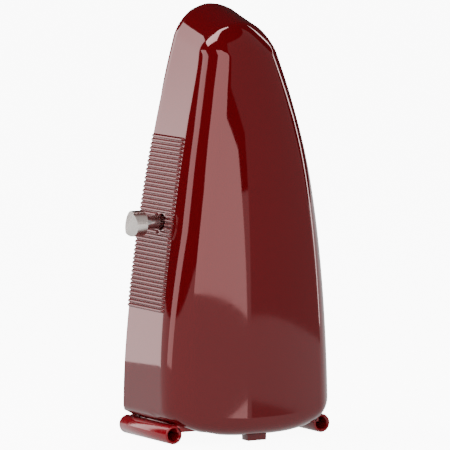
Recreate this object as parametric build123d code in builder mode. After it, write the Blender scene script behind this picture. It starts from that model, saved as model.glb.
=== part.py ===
from build123d import *
from math import atan2, cos, hypot, pi, radians, sin, sqrt
import os

os.makedirs("parts", exist_ok=True)

# A small wind-up metronome. Millimetres, +Z up, the table at Z = 0.
# +X is the winding-key side, -Y the front where the pendulum swings.

# ---- driving dimensions -------------------------------------------------
HEIGHT = 160.0          # case apex above the table
ROOF_Y = -9.0           # the roof falls towards the back from here
ROOF_ROUND = 5.1        # rounding between the sides and the roof
CORNER_R = 8.5          # rear corner radius of the shell
WALL = 2.0              # shell wall
SHELL_BOTTOM = 2.5      # lowest edge of the shell at the back
BOTTOM_ROUND = 5.5      # rounding under the back of the shell

FOOT_X = 31.73          # tubular feet, one each side
FOOT_R = 3.48
FOOT_BORE = 2.3
FOOT_FRONT = -18.0
FOOT_REAR = 17.47
PLATE_Z0 = 4.2          # base plate between the feet
PLATE_Z1 = 7.0

KEY_Y = 4.2             # winding axis, along X
KEY_Z = 81.0
KEY_HOLE_R = 3.0
SHANK_R = 2.45
KNOB_R = 4.75
KNOB_X0 = 37.7
KNOB_X1 = 42.9

MODULE = 0.6            # wheel train
GREAT_TEETH = 30
MID_PINION_TEETH = 15
MID_WHEEL_TEETH = 35
ESC_PINION_TEETH = 10
DIST_12 = MODULE * (GREAT_TEETH + MID_PINION_TEETH) / 2
DIST_23 = MODULE * (MID_WHEEL_TEETH + ESC_PINION_TEETH) / 2
ESC_Y = KEY_Y           # escape arbor straight below the barrel
ESC_Z = KEY_Z - 25.0
MID_DROP = (DIST_12**2 - DIST_23**2 + 25.0**2) / 50.0
MID_Y = KEY_Y + sqrt(DIST_12**2 - MID_DROP**2)
MID_Z = KEY_Z - MID_DROP
ESC_WHEEL_R = 7.0
ESC_WHEEL_TEETH = 15

PLATE_L = -14.0         # outer face of the left movement plate
PLATE_R = 20.5          # outer face of the right movement plate
PLATE_T = 1.5

PIVOT_Z = ESC_Z         # pendulum staff, along Y at X = 0
ROD_Y = -16.5
ROD_TOP = 140.0
ROD_W = 3.0
ROD_T = 1.0
BOB_R = 11.0
BOB_Z = 27.0
TEMPO_Z = 110.0
PANEL_Y0 = -10.0
PANEL_Y1 = -8.5
SCREW_INSET = 4.0       # panel screws, in from the outside of the case


# ---- case shell: the moulded form at any place (below 0 is inside) -------
def half_width(z):
    s = (min(z, 141.0) - 80.0) / 80.0
    w = 29.85 - 11.78 * s - 5.42 * s**2 + 0.5 * s**3 - 1.55 * s**4
    return w - 0.273 * max(z - 141.0, 0.0)


def front_y(z):
    s = (min(max(z, 0.0), HEIGHT) - 80.0) / 80.0
    return -12.6 + 2.68 * s - 1.56 * s**2


def back_y(z):
    s = (z - 80.0) / 80.0
    return 27.97 - 0.88 * s - 5.42 * s**2 - 6.2 * s**3


def crown_radius(z):
    return max(101.2 - 0.0035 * z**2, 15.0)


def round_max(a, b, r):
    # two faces meeting in a rounded edge of radius r
    return min(max(a, b), -r) + hypot(max(a + r, 0.0), max(b + r, 0.0))


def smooth_step(x, low, high):
    t = min(max((x - low) / (high - low), 0.0), 1.0)
    return t * t * (3.0 - 2.0 * t)


def shell_level(x, y, z):
    # leaning sides and a gable roof that falls away from the front arch
    t = max(y - ROOF_Y, 0.0)
    roof_z = z + (0.315 * t - 0.0015 * t**2) * smooth_step(z, 95.0, 150.0)
    side = (abs(x) - half_width(roof_z)) * 0.98
    roof = (roof_z - HEIGHT - 3.65 + hypot(0.578 * x, 3.65)) * 0.83
    arch = round_max(side, roof, ROOF_ROUND)
    back = hypot(x, max(y - back_y(z) + crown_radius(z), 0.0)) - crown_radius(z)
    return round_max(arch, back, CORNER_R - 1.4 * smooth_step(z, 115.0, 150.0))


def bottom_edge(x):
    return SHELL_BOTTOM + 5.2 * min(abs(x) / 32.0, 1.1) ** 3


def bottom_round(y):
    # the lower edge is sharp along the sides and well rounded under the back
    return 1.2 + (BOTTOM_ROUND - 1.2) * min(max((y - 8.0) / 14.0, 0.0), 1.0)


def outer_level(x, y, z):
    return round_max(shell_level(x, y, z), bottom_edge(x) - z, bottom_round(y))


def inner_level(x, y, z):
    # parallel to the outside, and open underneath
    return round_max(shell_level(x, y, z), bottom_edge(x) - z - WALL, bottom_round(y)) + WALL


def reach(level, y, z, a):
    # where a line from the middle at angle a leaves the form
    near = 0.0
    far = 60.0
    for _ in range(40):
        mid = (near + far) / 2
        if level(mid * cos(a), y + mid * sin(a), z) < 0:
            near = mid
        else:
            far = mid
    return (near * cos(a), y + near * sin(a))


def right_outline(level, z):
    # points from the front edge round the rear corner to the middle of the back
    middle = front_y(z) + 1.5
    edge = reach(level, front_y(z), z, 0.0)
    w = max(edge[0], 3.0)
    corner = back_y(z) - 0.5 * w**2 / crown_radius(z) - 4.0
    to_edge = atan2(-1.5, edge[0])
    to_corner = min(atan2(corner - middle, w - 3.0), 1.25)
    points = [edge]
    for f in (0.3, 0.6, 0.8, 0.92, 1.0):
        points.append(reach(level, middle, z, to_edge + f * (to_corner - to_edge)))
    for f in (0.08, 0.2, 0.4, 0.7, 1.0):
        points.append(reach(level, middle, z, to_corner + f * (pi / 2 - to_corner)))
    points[-1] = (0.0, points[-1][1])
    return points


def shell_outline(level, z, ahead):
    # closed across the front, or carried on by "ahead" to leave the front open
    right = right_outline(level, z)
    left = [(-x, y) for x, y in reversed(right[:-1])]
    Spline(*right, *left)
    x, y = right[0]
    if ahead > 0:
        Polyline(left[-1], (-x, y - ahead), (x, y - ahead), right[0])
    else:
        Line(left[-1], right[0])


# ---- case shell: one moulding with sides, back, roof and rear foot -------
LOW_LEVELS = (2.6, 3.0, 3.6, 4.4, 5.4, 6.6, 8.0, 10.0, 12.0)
MAIN_LEVELS = (12.0, 24.0, 40.0, 56.0, 72.0, 88.0, 100.0, 110.0, 119.0, 127.0, 134.0, 140.0)
ROOF_LEVELS = (140.0, 143.0, 146.0, 148.5, 151.0, 153.0, 155.0, 156.5, 158.0, 159.0, 159.95)
with BuildPart() as case_shell:
    for levels, straight in ((LOW_LEVELS, True), (MAIN_LEVELS, False), (ROOF_LEVELS, True)):
        for z in levels:
            with BuildSketch(Plane.XY.offset(z)):
                with BuildLine():
                    shell_outline(outer_level, z, 0.0)
                make_face()
        loft(ruled=straight)
    # hollow inside, open at the front and underneath
    for levels, straight in (((2.8, 3.4, 4.4, 5.6, 7.0, 9.0, 11.0, 14.0), True), ((14.0, *MAIN_LEVELS[1:]), False),
                             ((140.0, 143.0, 146.0, 148.5, 151.0, 153.0, 155.0, 156.6), True)):
        for z in levels:
            with BuildSketch(Plane.XY.offset(z)):
                with BuildLine():
                    shell_outline(inner_level, z, 20.0)
                make_face()
        loft(ruled=straight, mode=Mode.SUBTRACT)
    # seat for the base plate and channels over the tubular feet
    with BuildSketch(Plane.XY.offset(-1.0)):
        with Locations((0, -11.0)):
            Rectangle(90.0, 57.3)
    extrude(amount=PLATE_Z1 + 1.0, mode=Mode.SUBTRACT)
    for side in (-1, 1):
        with BuildSketch(Plane.XZ.offset(-40.0)):
            with Locations((side * FOOT_X, 3.5)):
                Circle(4.2)
            with Locations((side * (FOOT_X + 6.0), 2.35)):
                Rectangle(12.0, 10.7)
            with Locations((side * FOOT_X, 1.0)):
                Rectangle(8.4, 5.0)
        extrude(amount=80.0, mode=Mode.SUBTRACT)
    # hole for the winding key
    with BuildSketch(Plane.YZ.offset(20.0)):
        with Locations((KEY_Y, KEY_Z)):
            Circle(KEY_HOLE_R)
    extrude(amount=20.0, mode=Mode.SUBTRACT)
    # rear foot, moulded with the back
    with BuildSketch(Plane.XY):
        with Locations((0, 21.6)):
            Rectangle(8.0, 4.8)
    extrude(amount=8.0)
    # bosses for the front panel screws
    for z in (20.0, 126.0):
        for side in (-1, 1):
            with BuildSketch(Plane.XZ.offset(-PANEL_Y1)):
                with Locations((side * (half_width(z) - SCREW_INSET), z)):
                    Circle(2.2)
            extrude(amount=-8.0)
            with BuildSketch(Plane.XZ.offset(-PANEL_Y1)):
                with Locations((side * (half_width(z) - SCREW_INSET), z)):
                    Circle(0.8)
            extrude(amount=-6.0, mode=Mode.SUBTRACT)
case_shell.part.label = "case_shell"
export_step(case_shell.part, "parts/case_shell.step")


# ---- base plate with its two tubular feet --------------------------------
with BuildPart() as base_plate:
    with BuildSketch(Plane.XY.offset(PLATE_Z0)):
        with Locations((0, (FOOT_FRONT + FOOT_REAR) / 2)):
            Rectangle(2 * FOOT_X, FOOT_REAR - FOOT_FRONT)
    extrude(amount=PLATE_Z1 - PLATE_Z0)
    for side in (-1, 1):
        with BuildSketch(Plane.XZ.offset(-FOOT_REAR)):
            with Locations((side * FOOT_X, FOOT_R)):
                Circle(FOOT_R)
        extrude(amount=FOOT_REAR - FOOT_FRONT)
    for side in (-1, 1):
        with BuildSketch(Plane.XZ.offset(-FOOT_REAR - 1.0)):
            with Locations((side * FOOT_X, FOOT_R)):
                Circle(FOOT_BORE)
        extrude(amount=FOOT_REAR - FOOT_FRONT + 2.0, mode=Mode.SUBTRACT)
    for x in (PLATE_L - 3.0, PLATE_R + 3.0):
        for y in (9.0, 14.0):
            with BuildSketch(Plane.XY):
                with Locations((x, y)):
                    Circle(0.9)
            extrude(amount=10.0, mode=Mode.SUBTRACT)
base_plate.part.label = "base_plate"
export_step(base_plate.part, "parts/base_plate.step")


# ---- dial panel: closes the front behind the swinging rod ----------------
PANEL_LEVELS = (7.2, 25.0, 48.0, 72.0, 95.0, 115.0, 130.0, 142.0)
with BuildPart() as dial_panel:
    with BuildSketch(Plane.XZ.offset(-PANEL_Y1)):
        with BuildLine():
            right = [(half_width(z) - WALL - 0.7, z) for z in PANEL_LEVELS]
            left = [(-x, z) for x, z in reversed(right)]
            Spline(*right)
            Polyline(right[-1], (10.4, 147.6), (5.6, 151.0), (-5.6, 151.0), (-10.4, 147.6), left[0])
            Spline(*left)
            Line(left[-1], right[0])
        make_face()
        with Locations((0, PIVOT_Z)):
            Circle(2.2, mode=Mode.SUBTRACT)
        for z in (20.0, 126.0):
            with Locations((half_width(z) - SCREW_INSET, z), (SCREW_INSET - half_width(z), z)):
                Circle(0.9, mode=Mode.SUBTRACT)
    extrude(amount=PANEL_Y1 - PANEL_Y0)
    # two ears that carry the rod latch above the rod tip
    for x in (-4.4, 3.2):
        with BuildSketch(Plane.YZ.offset(x)):
            with BuildLine():
                Polyline((PANEL_Y0 + 0.2, 140.0), (PANEL_Y0 + 0.2, 147.5), (ROD_Y - 1.0, 146.0),
                         (ROD_Y - 2.0, 144.8), (ROD_Y - 2.0, 143.2), (ROD_Y - 1.0, 142.2), close=True)
            make_face()
            with Locations((ROD_Y, 144.0)):
                Circle(0.62, mode=Mode.SUBTRACT)
        extrude(amount=1.2)
dial_panel.part.label = "dial_panel"
export_step(dial_panel.part, "parts/dial_panel.step")


# ---- panel screws: four, from the front into the shell bosses ------------
with BuildPart() as panel_screws:
    for z in (20.0, 126.0):
        for side in (-1, 1):
            with BuildSketch(Plane.XZ.offset(-PANEL_Y0)):
                with Locations((side * (half_width(z) - SCREW_INSET), z)):
                    Circle(1.4)
            extrude(amount=0.9)
            with BuildSketch(Plane.XZ.offset(-PANEL_Y0)):
                with Locations((side * (half_width(z) - SCREW_INSET), z)):
                    Circle(0.78)
            extrude(amount=-6.5)
            with BuildSketch(Plane.XZ.offset(-PANEL_Y0 + 0.5)):
                with Locations((side * (half_width(z) - SCREW_INSET), z)):
                    Rectangle(2.4, 0.5)
                    Rectangle(0.5, 2.4)
            extrude(amount=1.0, mode=Mode.SUBTRACT)
panel_screws.part.label = "panel_screws"
export_step(panel_screws.part, "parts/panel_screws.step")


# ---- movement plates: stand on the base plate, parallel to YZ ------------
def movement_outline():
    Polyline((7.0, PLATE_Z1), (15.5, PLATE_Z1), (15.5, 40.0), (16.5, 44.0), (16.5, 92.0),
             (12.0, 94.0), (-2.0, 94.0), (-6.0, 91.0), (-6.0, 45.0), (2.0, 41.2),
             (7.0, 39.2), close=True)


PILLARS = ((13.8, 90.5), (-3.6, 90.8), (12.2, 44.0), (11.2, 20.0))

with BuildPart() as movement_plate_right:
    with BuildSketch(Plane.YZ.offset(PLATE_R - PLATE_T)):
        with BuildLine():
            movement_outline()
        make_face()
        with Locations((KEY_Y, KEY_Z)):
            Circle(SHANK_R + 0.05, mode=Mode.SUBTRACT)
        with Locations((MID_Y, MID_Z)):
            Circle(1.8, mode=Mode.SUBTRACT)
        with Locations((14.5, 76.0)):
            Circle(0.6, mode=Mode.SUBTRACT)
        with Locations(*PILLARS):
            Circle(0.7, mode=Mode.SUBTRACT)
    extrude(amount=PLATE_T)
    with BuildSketch(Plane.XY.offset(PLATE_Z1)):
        with Locations((PLATE_R + 2.5, 11.25)):
            Rectangle(5.2, 8.5)
        with Locations((PLATE_R + 3.0, 9.0), (PLATE_R + 3.0, 14.0)):
            Circle(0.95, mode=Mode.SUBTRACT)
    extrude(amount=1.2)
movement_plate_right.part.label = "movement_plate_right"
export_step(movement_plate_right.part, "parts/movement_plate_right.step")

with BuildPart() as movement_plate_left:
    with BuildSketch(Plane.YZ.offset(PLATE_L)):
        with BuildLine():
            movement_outline()
        make_face()
        with Locations((KEY_Y, KEY_Z)):
            Circle(2.2, mode=Mode.SUBTRACT)
        with Locations((MID_Y, MID_Z), (ESC_Y, ESC_Z)):
            Circle(1.8, mode=Mode.SUBTRACT)
        with Locations(*PILLARS):
            Circle(0.7, mode=Mode.SUBTRACT)
    extrude(amount=PLATE_T)
    with BuildSketch(Plane.XY.offset(PLATE_Z1)):
        with Locations((PLATE_L - 2.5, 11.25)):
            Rectangle(5.2, 8.5)
        with Locations((PLATE_L - 3.0, 9.0), (PLATE_L - 3.0, 14.0)):
            Circle(0.95, mode=Mode.SUBTRACT)
    extrude(amount=1.2)
movement_plate_left.part.label = "movement_plate_left"
export_step(movement_plate_left.part, "parts/movement_plate_left.step")


# ---- pillars: four turned rods that hold the plates apart ----------------
with BuildPart() as frame_pillars:
    for y, z in PILLARS:
        with BuildSketch(Plane.YZ.offset(PLATE_L + PLATE_T)):
            with Locations((y, z)):
                Circle(1.5)
                Circle(0.7, mode=Mode.SUBTRACT)
        extrude(amount=PLATE_R - PLATE_L - 2 * PLATE_T)
frame_pillars.part.label = "frame_pillars"
export_step(frame_pillars.part, "parts/frame_pillars.step")

with BuildPart() as frame_screws:
    for y, z in PILLARS:
        for x, out in ((PLATE_R, 1), (PLATE_L, -1)):
            with BuildSketch(Plane.YZ.offset(x)):
                with Locations((y, z)):
                    Circle(1.4)
            extrude(amount=out * 0.9)
            with BuildSketch(Plane.YZ.offset(x)):
                with Locations((y, z)):
                    Circle(0.68)
            extrude(amount=-out * 5.0)
            with BuildSketch(Plane.YZ.offset(x + out * 0.5)):
                with Locations((y, z)):
                    Rectangle(0.4, 3.0)
            extrude(amount=out * 1.0, mode=Mode.SUBTRACT)
frame_screws.part.label = "frame_screws"
export_step(frame_screws.part, "parts/frame_screws.step")

# ---- movement screws: hold the plate flanges down on the base plate ------
with BuildPart() as movement_screws:
    for x in (PLATE_L - 3.0, PLATE_R + 3.0):
        for y in (9.0, 14.0):
            with BuildSketch(Plane.XY.offset(PLATE_Z1 + 1.2)):
                with Locations((x, y)):
                    Circle(1.6)
            extrude(amount=0.9)
            with BuildSketch(Plane.XY.offset(PLATE_Z0 + 0.2)):
                with Locations((x, y)):
                    Circle(0.88)
            extrude(amount=PLATE_Z1 + 1.3 - PLATE_Z0 - 0.2)
            with BuildSketch(Plane.XY.offset(PLATE_Z1 + 1.7)):
                with Locations((x, y)):
                    Rectangle(0.45, 3.4)
            extrude(amount=1.0, mode=Mode.SUBTRACT)
movement_screws.part.label = "movement_screws"
export_step(movement_screws.part, "parts/movement_screws.step")


# ---- brass bushes pressed into the plates --------------------------------
with BuildPart() as arbor_bushes:
    for x, y, z, r0, r1 in ((PLATE_R - PLATE_T, MID_Y, MID_Z, 0.83, 1.8),
                            (PLATE_L, MID_Y, MID_Z, 0.83, 1.8),
                            (PLATE_L, ESC_Y, ESC_Z, 0.83, 1.8),
                            (PLATE_L, KEY_Y, KEY_Z, 1.23, 2.2)):
        with BuildSketch(Plane.YZ.offset(x)):
            with Locations((y, z)):
                Circle(r1)
                Circle(r0, mode=Mode.SUBTRACT)
        extrude(amount=PLATE_T)
arbor_bushes.part.label = "arbor_bushes"
export_step(arbor_bushes.part, "parts/arbor_bushes.step")

with BuildPart() as staff_bush:
    with BuildSketch(Plane.XZ.offset(-PANEL_Y1)):
        with Locations((0, PIVOT_Z)):
            Circle(2.2)
            Circle(1.04, mode=Mode.SUBTRACT)
    extrude(amount=PANEL_Y1 - PANEL_Y0)
    with BuildSketch(Plane.XZ.offset(-PANEL_Y0)):
        with Locations((0, PIVOT_Z)):
            Circle(2.9)
            Circle(1.04, mode=Mode.SUBTRACT)
    extrude(amount=0.8)
staff_bush.part.label = "staff_bush"
export_step(staff_bush.part, "parts/staff_bush.step")

# ---- staff bridge: rear bearing bar of the pendulum staff ----------------
with BuildPart() as staff_bridge:
    with BuildSketch(Plane.XZ.offset(-14.2)):
        with Locations(((PLATE_L + PLATE_R) / 2, ESC_Z - 1.6)):
            Rectangle(PLATE_R - PLATE_L - 2 * PLATE_T, 5.8)
        with Locations((0, PIVOT_Z)):
            Circle(0.63, mode=Mode.SUBTRACT)
    extrude(amount=1.6)
staff_bridge.part.label = "staff_bridge"
export_step(staff_bridge.part, "parts/staff_bridge.step")

# ---- escape bridge: inner bearing of the escape arbor --------------------
with BuildPart() as escape_bridge:
    with BuildSketch(Plane.YZ.offset(-2.6)):
        with Locations((ESC_Y, ESC_Z - 4.9)):
            Rectangle(4.0, 13.8)
        with Locations((ESC_Y, ESC_Z)):
            Circle(0.83, mode=Mode.SUBTRACT)
    extrude(amount=0.8)
    with BuildSketch(Plane.YZ.offset(PLATE_L + PLATE_T)):
        with Locations((ESC_Y, ESC_Z - 11.0)):
            Rectangle(4.0, 1.6)
    extrude(amount=-2.6 - PLATE_L - PLATE_T + 0.4)
escape_bridge.part.label = "escape_bridge"
export_step(escape_bridge.part, "parts/escape_bridge.step")


# ---- toothed wheels: plain clock teeth with room to run ------------------
def tooth_points(cy, cz, teeth, module, phase):
    r = module * teeth / 2
    root = r - 1.15 * module
    tip = r + 0.85 * module
    step = 2 * pi / teeth
    points = []
    for k in range(teeth):
        a = phase + k * step
        for radius, share in ((root, -0.30), (r, -0.20), (tip, -0.09),
                              (tip, 0.09), (r, 0.20), (root, 0.30)):
            b = a + share * step
            points.append((cy + radius * cos(b), cz + radius * sin(b)))
    return points


LINE_12 = atan2(MID_Z - KEY_Z, MID_Y - KEY_Y)
LINE_23 = atan2(ESC_Z - MID_Z, ESC_Y - MID_Y)

# ---- going barrel: drum, cover and great wheel turn together -------------
BARREL_X0 = 6.5
BARREL_X1 = 17.5
with BuildPart() as great_wheel:
    with BuildSketch(Plane.YZ.offset(BARREL_X0 - 1.3)):
        with BuildLine():
            Polyline(*tooth_points(KEY_Y, KEY_Z, GREAT_TEETH, MODULE, LINE_12), close=True)
        make_face()
        with Locations((KEY_Y, KEY_Z)):
            Circle(1.25, mode=Mode.SUBTRACT)
    extrude(amount=1.3)
great_wheel.part.label = "great_wheel"
export_step(great_wheel.part, "parts/great_wheel.step")

with BuildPart() as barrel_drum:
    with BuildSketch(Plane.YZ.offset(BARREL_X0)):
        with Locations((KEY_Y, KEY_Z)):
            Circle(8.0)
    extrude(amount=BARREL_X1 - BARREL_X0)
    with BuildSketch(Plane.YZ.offset(BARREL_X0 + 0.8)):
        with Locations((KEY_Y, KEY_Z)):
            Circle(7.2)
    extrude(amount=BARREL_X1 - BARREL_X0, mode=Mode.SUBTRACT)
    with BuildSketch(Plane.YZ.offset(BARREL_X0)):
        with Locations((KEY_Y, KEY_Z)):
            Circle(1.25)
    extrude(amount=2.0, mode=Mode.SUBTRACT)
barrel_drum.part.label = "barrel_drum"
export_step(barrel_drum.part, "parts/barrel_drum.step")

with BuildPart() as barrel_cover:
    with BuildSketch(Plane.YZ.offset(BARREL_X1)):
        with Locations((KEY_Y, KEY_Z)):
            Circle(8.0)
            Circle(SHANK_R + 0.05, mode=Mode.SUBTRACT)
    extrude(amount=0.8)
barrel_cover.part.label = "barrel_cover"
export_step(barrel_cover.part, "parts/barrel_cover.step")

# ---- mainspring: a coiled strip inside the drum --------------------------
with BuildPart() as mainspring:
    with BuildSketch(Plane.YZ.offset(BARREL_X0 + 1.3)):
        with BuildLine():
            outer = []
            inner = []
            for k in range(0, 145):
                a = k * 2 * pi / 24
                r = 3.5 + 3.4 * k / 144
                outer.append((KEY_Y + (r + 0.14) * cos(a), KEY_Z + (r + 0.14) * sin(a)))
                inner.append((KEY_Y + (r - 0.14) * cos(a), KEY_Z + (r - 0.14) * sin(a)))
            Polyline(*outer, *reversed(inner), close=True)
        make_face()
    extrude(amount=9.2)
mainspring.part.label = "mainspring"
export_step(mainspring.part, "parts/mainspring.step")


# ---- winding arbor: pivot, hub, shank out through the case side ----------
with BuildPart() as winding_arbor:
    for x0, x1, r in ((PLATE_L, 8.0, 1.2), (8.0, 16.8, 2.2), (16.8, KNOB_X0 + 2.0, SHANK_R)):
        with BuildSketch(Plane.YZ.offset(x0)):
            with Locations((KEY_Y, KEY_Z)):
                Circle(r)
        extrude(amount=x1 - x0)
winding_arbor.part.label = "winding_arbor"
export_step(winding_arbor.part, "parts/winding_arbor.step")

# ---- winding knob: short cylinder with two slanted finger flats ----------
RIDGE = Plane(origin=(KNOB_X0, KEY_Y, KEY_Z), x_dir=(1, 0, 0), z_dir=(0, 3.5, 4.4))
with BuildPart() as winding_knob:
    with BuildSketch(Plane.YZ.offset(KNOB_X0)):
        with Locations((KEY_Y, KEY_Z)):
            Circle(KNOB_R)
    extrude(amount=KNOB_X1 - KNOB_X0)
    # the outer end is ground to a ridge between two flats
    with BuildSketch(RIDGE):
        with BuildLine():
            Polyline((0.0, -6.0), (0.0, 6.0), (KNOB_X1 - KNOB_X0 - 1.5, 6.0), (KNOB_X1 - KNOB_X0, 0.0),
                     (KNOB_X1 - KNOB_X0 - 1.5, -6.0), close=True)
        make_face()
    extrude(amount=8.0, both=True, mode=Mode.INTERSECT)
    with BuildSketch(Plane.YZ.offset(KNOB_X0)):
        with Locations((KEY_Y, KEY_Z)):
            Circle(SHANK_R)
    extrude(amount=2.0, mode=Mode.SUBTRACT)
winding_knob.part.label = "winding_knob"
export_step(winding_knob.part, "parts/winding_knob.step")

# ---- ratchet wheel and click on the outside of the right plate -----------
RATCHET_TEETH = 12
RATCHET_R = 5.2
RATCHET_ROOT = 4.1
with BuildPart() as ratchet_wheel:
    with BuildSketch(Plane.YZ.offset(PLATE_R + 0.4)):
        with BuildLine():
            points = []
            for k in range(RATCHET_TEETH):
                a = radians(k * 30.0)
                points.append((KEY_Y + RATCHET_R * cos(a), KEY_Z + RATCHET_R * sin(a)))
                points.append((KEY_Y + RATCHET_ROOT * cos(a + 0.05), KEY_Z + RATCHET_ROOT * sin(a + 0.05)))
            Polyline(*points, close=True)
        make_face()
        with Locations((KEY_Y, KEY_Z)):
            Circle(SHANK_R, mode=Mode.SUBTRACT)
    extrude(amount=1.4)
ratchet_wheel.part.label = "ratchet_wheel"
export_step(ratchet_wheel.part, "parts/ratchet_wheel.step")

with BuildPart() as click:
    with BuildSketch(Plane.YZ.offset(PLATE_R + 0.4)):
        with Locations((14.5, 76.0)):
            Circle(1.7)
        with BuildLine():
            Polyline((14.5, 74.6), (15.6, 77.2), (9.3, 82.4), (8.85, 81.55), (9.6, 81.0), close=True)
        make_face()
        with Locations((14.5, 76.0)):
            Circle(0.85, mode=Mode.SUBTRACT)
    extrude(amount=1.2)
click.part.label = "click"
export_step(click.part, "parts/click.step")

with BuildPart() as click_screw:
    with BuildSketch(Plane.YZ.offset(PLATE_R)):
        with Locations((14.5, 76.0)):
            Circle(0.8)
    extrude(amount=1.8)
    with BuildSketch(Plane.YZ.offset(PLATE_R - 1.3)):
        with Locations((14.5, 76.0)):
            Circle(0.58)
    extrude(amount=1.5)
    with BuildSketch(Plane.YZ.offset(PLATE_R + 1.8)):
        with Locations((14.5, 76.0)):
            Circle(1.5)
    extrude(amount=0.8)
    with BuildSketch(Plane.YZ.offset(PLATE_R + 2.2)):
        with Locations((14.5, 76.0)):
            Rectangle(0.4, 4.0)
    extrude(amount=1.0, mode=Mode.SUBTRACT)
click_screw.part.label = "click_screw"
export_step(click_screw.part, "parts/click_screw.step")

with BuildPart() as click_spring:
    with BuildSketch(Plane.YZ.offset(PLATE_R)):
        with BuildLine():
            Polyline((14.6, 86.4), (15.8, 86.4), (15.8, 84.6), (14.3, 80.6), (14.1, 78.9),
                     (13.8, 79.1), (14.0, 80.7), (14.6, 82.6), close=True)
        make_face()
    extrude(amount=1.2)
click_spring.part.label = "click_spring"
export_step(click_spring.part, "parts/click_spring.step")


# ---- intermediate arbor, pinion and wheel --------------------------------
MID_WHEEL_X = -9.5
with BuildPart() as intermediate_arbor:
    for x0, x1, r in ((PLATE_L, PLATE_L + 2.0, 0.8), (PLATE_L + 2.0, PLATE_R - 2.0, 1.0),
                      (PLATE_R - 2.0, PLATE_R, 0.8)):
        with BuildSketch(Plane.YZ.offset(x0)):
            with Locations((MID_Y, MID_Z)):
                Circle(r)
        extrude(amount=x1 - x0)
intermediate_arbor.part.label = "intermediate_arbor"
export_step(intermediate_arbor.part, "parts/intermediate_arbor.step")

with BuildPart() as intermediate_pinion:
    phase = LINE_12 + pi + pi / MID_PINION_TEETH
    with BuildSketch(Plane.YZ.offset(BARREL_X0 - 1.9)):
        with BuildLine():
            Polyline(*tooth_points(MID_Y, MID_Z, MID_PINION_TEETH, MODULE, phase), close=True)
        make_face()
        with Locations((MID_Y, MID_Z)):
            Circle(1.0, mode=Mode.SUBTRACT)
    extrude(amount=2.5)
intermediate_pinion.part.label = "intermediate_pinion"
export_step(intermediate_pinion.part, "parts/intermediate_pinion.step")

with BuildPart() as intermediate_wheel:
    with BuildSketch(Plane.YZ.offset(MID_WHEEL_X)):
        with BuildLine():
            Polyline(*tooth_points(MID_Y, MID_Z, MID_WHEEL_TEETH, MODULE, LINE_23), close=True)
        make_face()
        with Locations((MID_Y, MID_Z)):
            Circle(1.0, mode=Mode.SUBTRACT)
            with PolarLocations(5.6, 4, start_angle=45):
                Circle(2.4, mode=Mode.SUBTRACT)
    extrude(amount=1.0)
intermediate_wheel.part.label = "intermediate_wheel"
export_step(intermediate_wheel.part, "parts/intermediate_wheel.step")

# ---- escape arbor, pinion and crown wheel --------------------------------
with BuildPart() as escape_arbor:
    with BuildSketch(Plane.YZ.offset(PLATE_L)):
        with Locations((ESC_Y, ESC_Z)):
            Circle(0.8)
    extrude(amount=-1.9 - PLATE_L)
escape_arbor.part.label = "escape_arbor"
export_step(escape_arbor.part, "parts/escape_arbor.step")

with BuildPart() as escape_pinion:
    phase = LINE_23 + pi + pi / ESC_PINION_TEETH
    with BuildSketch(Plane.YZ.offset(MID_WHEEL_X - 0.7)):
        with BuildLine():
            Polyline(*tooth_points(ESC_Y, ESC_Z, ESC_PINION_TEETH, MODULE, phase), close=True)
        make_face()
        with Locations((ESC_Y, ESC_Z)):
            Circle(0.8, mode=Mode.SUBTRACT)
    extrude(amount=2.2)
escape_pinion.part.label = "escape_pinion"
export_step(escape_pinion.part, "parts/escape_pinion.step")

with BuildPart() as crown_wheel:
    with BuildSketch(Plane.YZ.offset(-7.0)):
        with Locations((ESC_Y, ESC_Z)):
            Circle(ESC_WHEEL_R)
            Circle(0.8, mode=Mode.SUBTRACT)
    extrude(amount=1.0)
    with BuildSketch(Plane.YZ.offset(-6.0)):
        with Locations((ESC_Y, ESC_Z)):
            Circle(ESC_WHEEL_R)
            Circle(ESC_WHEEL_R - 0.8, mode=Mode.SUBTRACT)
    extrude(amount=2.8)
    for k in range(ESC_WHEEL_TEETH):
        a = 2 * pi * k / ESC_WHEEL_TEETH
        place = Plane(origin=(-3.2, ESC_Y + (ESC_WHEEL_R - 2.0) * cos(a), ESC_Z + (ESC_WHEEL_R - 2.0) * sin(a)),
                      x_dir=(1, 0, 0), z_dir=(0, cos(a), sin(a)))
        with BuildSketch(place):
            with BuildLine():
                Polyline((0.2, 1.15), (0.2, -1.15), (-1.9, -1.15), close=True)
            make_face()
        extrude(amount=4.0, mode=Mode.SUBTRACT)
crown_wheel.part.label = "crown_wheel"
export_step(crown_wheel.part, "parts/crown_wheel.step")


# ---- pendulum: staff, pallets, hub, rod, arm and fixed weight ------------
with BuildPart() as pendulum_staff:
    for y0, y1, r in ((-18.0, 12.4, 1.0), (12.4, 14.2, 0.6)):
        with BuildSketch(Plane.XZ.offset(-y1)):
            with Locations((0, PIVOT_Z)):
                Circle(r)
        extrude(amount=y1 - y0)
pendulum_staff.part.label = "pendulum_staff"
export_step(pendulum_staff.part, "parts/pendulum_staff.step")

with BuildPart() as pallets:
    for y, lean in ((ESC_Y + 6.6, 45.0), (ESC_Y - 6.6, -45.0)):
        with BuildSketch(Plane.XZ.offset(-y - 1.0)):
            with Locations((0, PIVOT_Z)):
                Circle(1.5)
                with Locations(Location((-1.9 * cos(radians(lean)), 1.9 * sin(radians(lean))), -lean)):
                    Rectangle(1.6, 0.7)
                Circle(1.0, mode=Mode.SUBTRACT)
        extrude(amount=2.0)
pallets.part.label = "pallets"
export_step(pallets.part, "parts/pallets.step")

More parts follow.
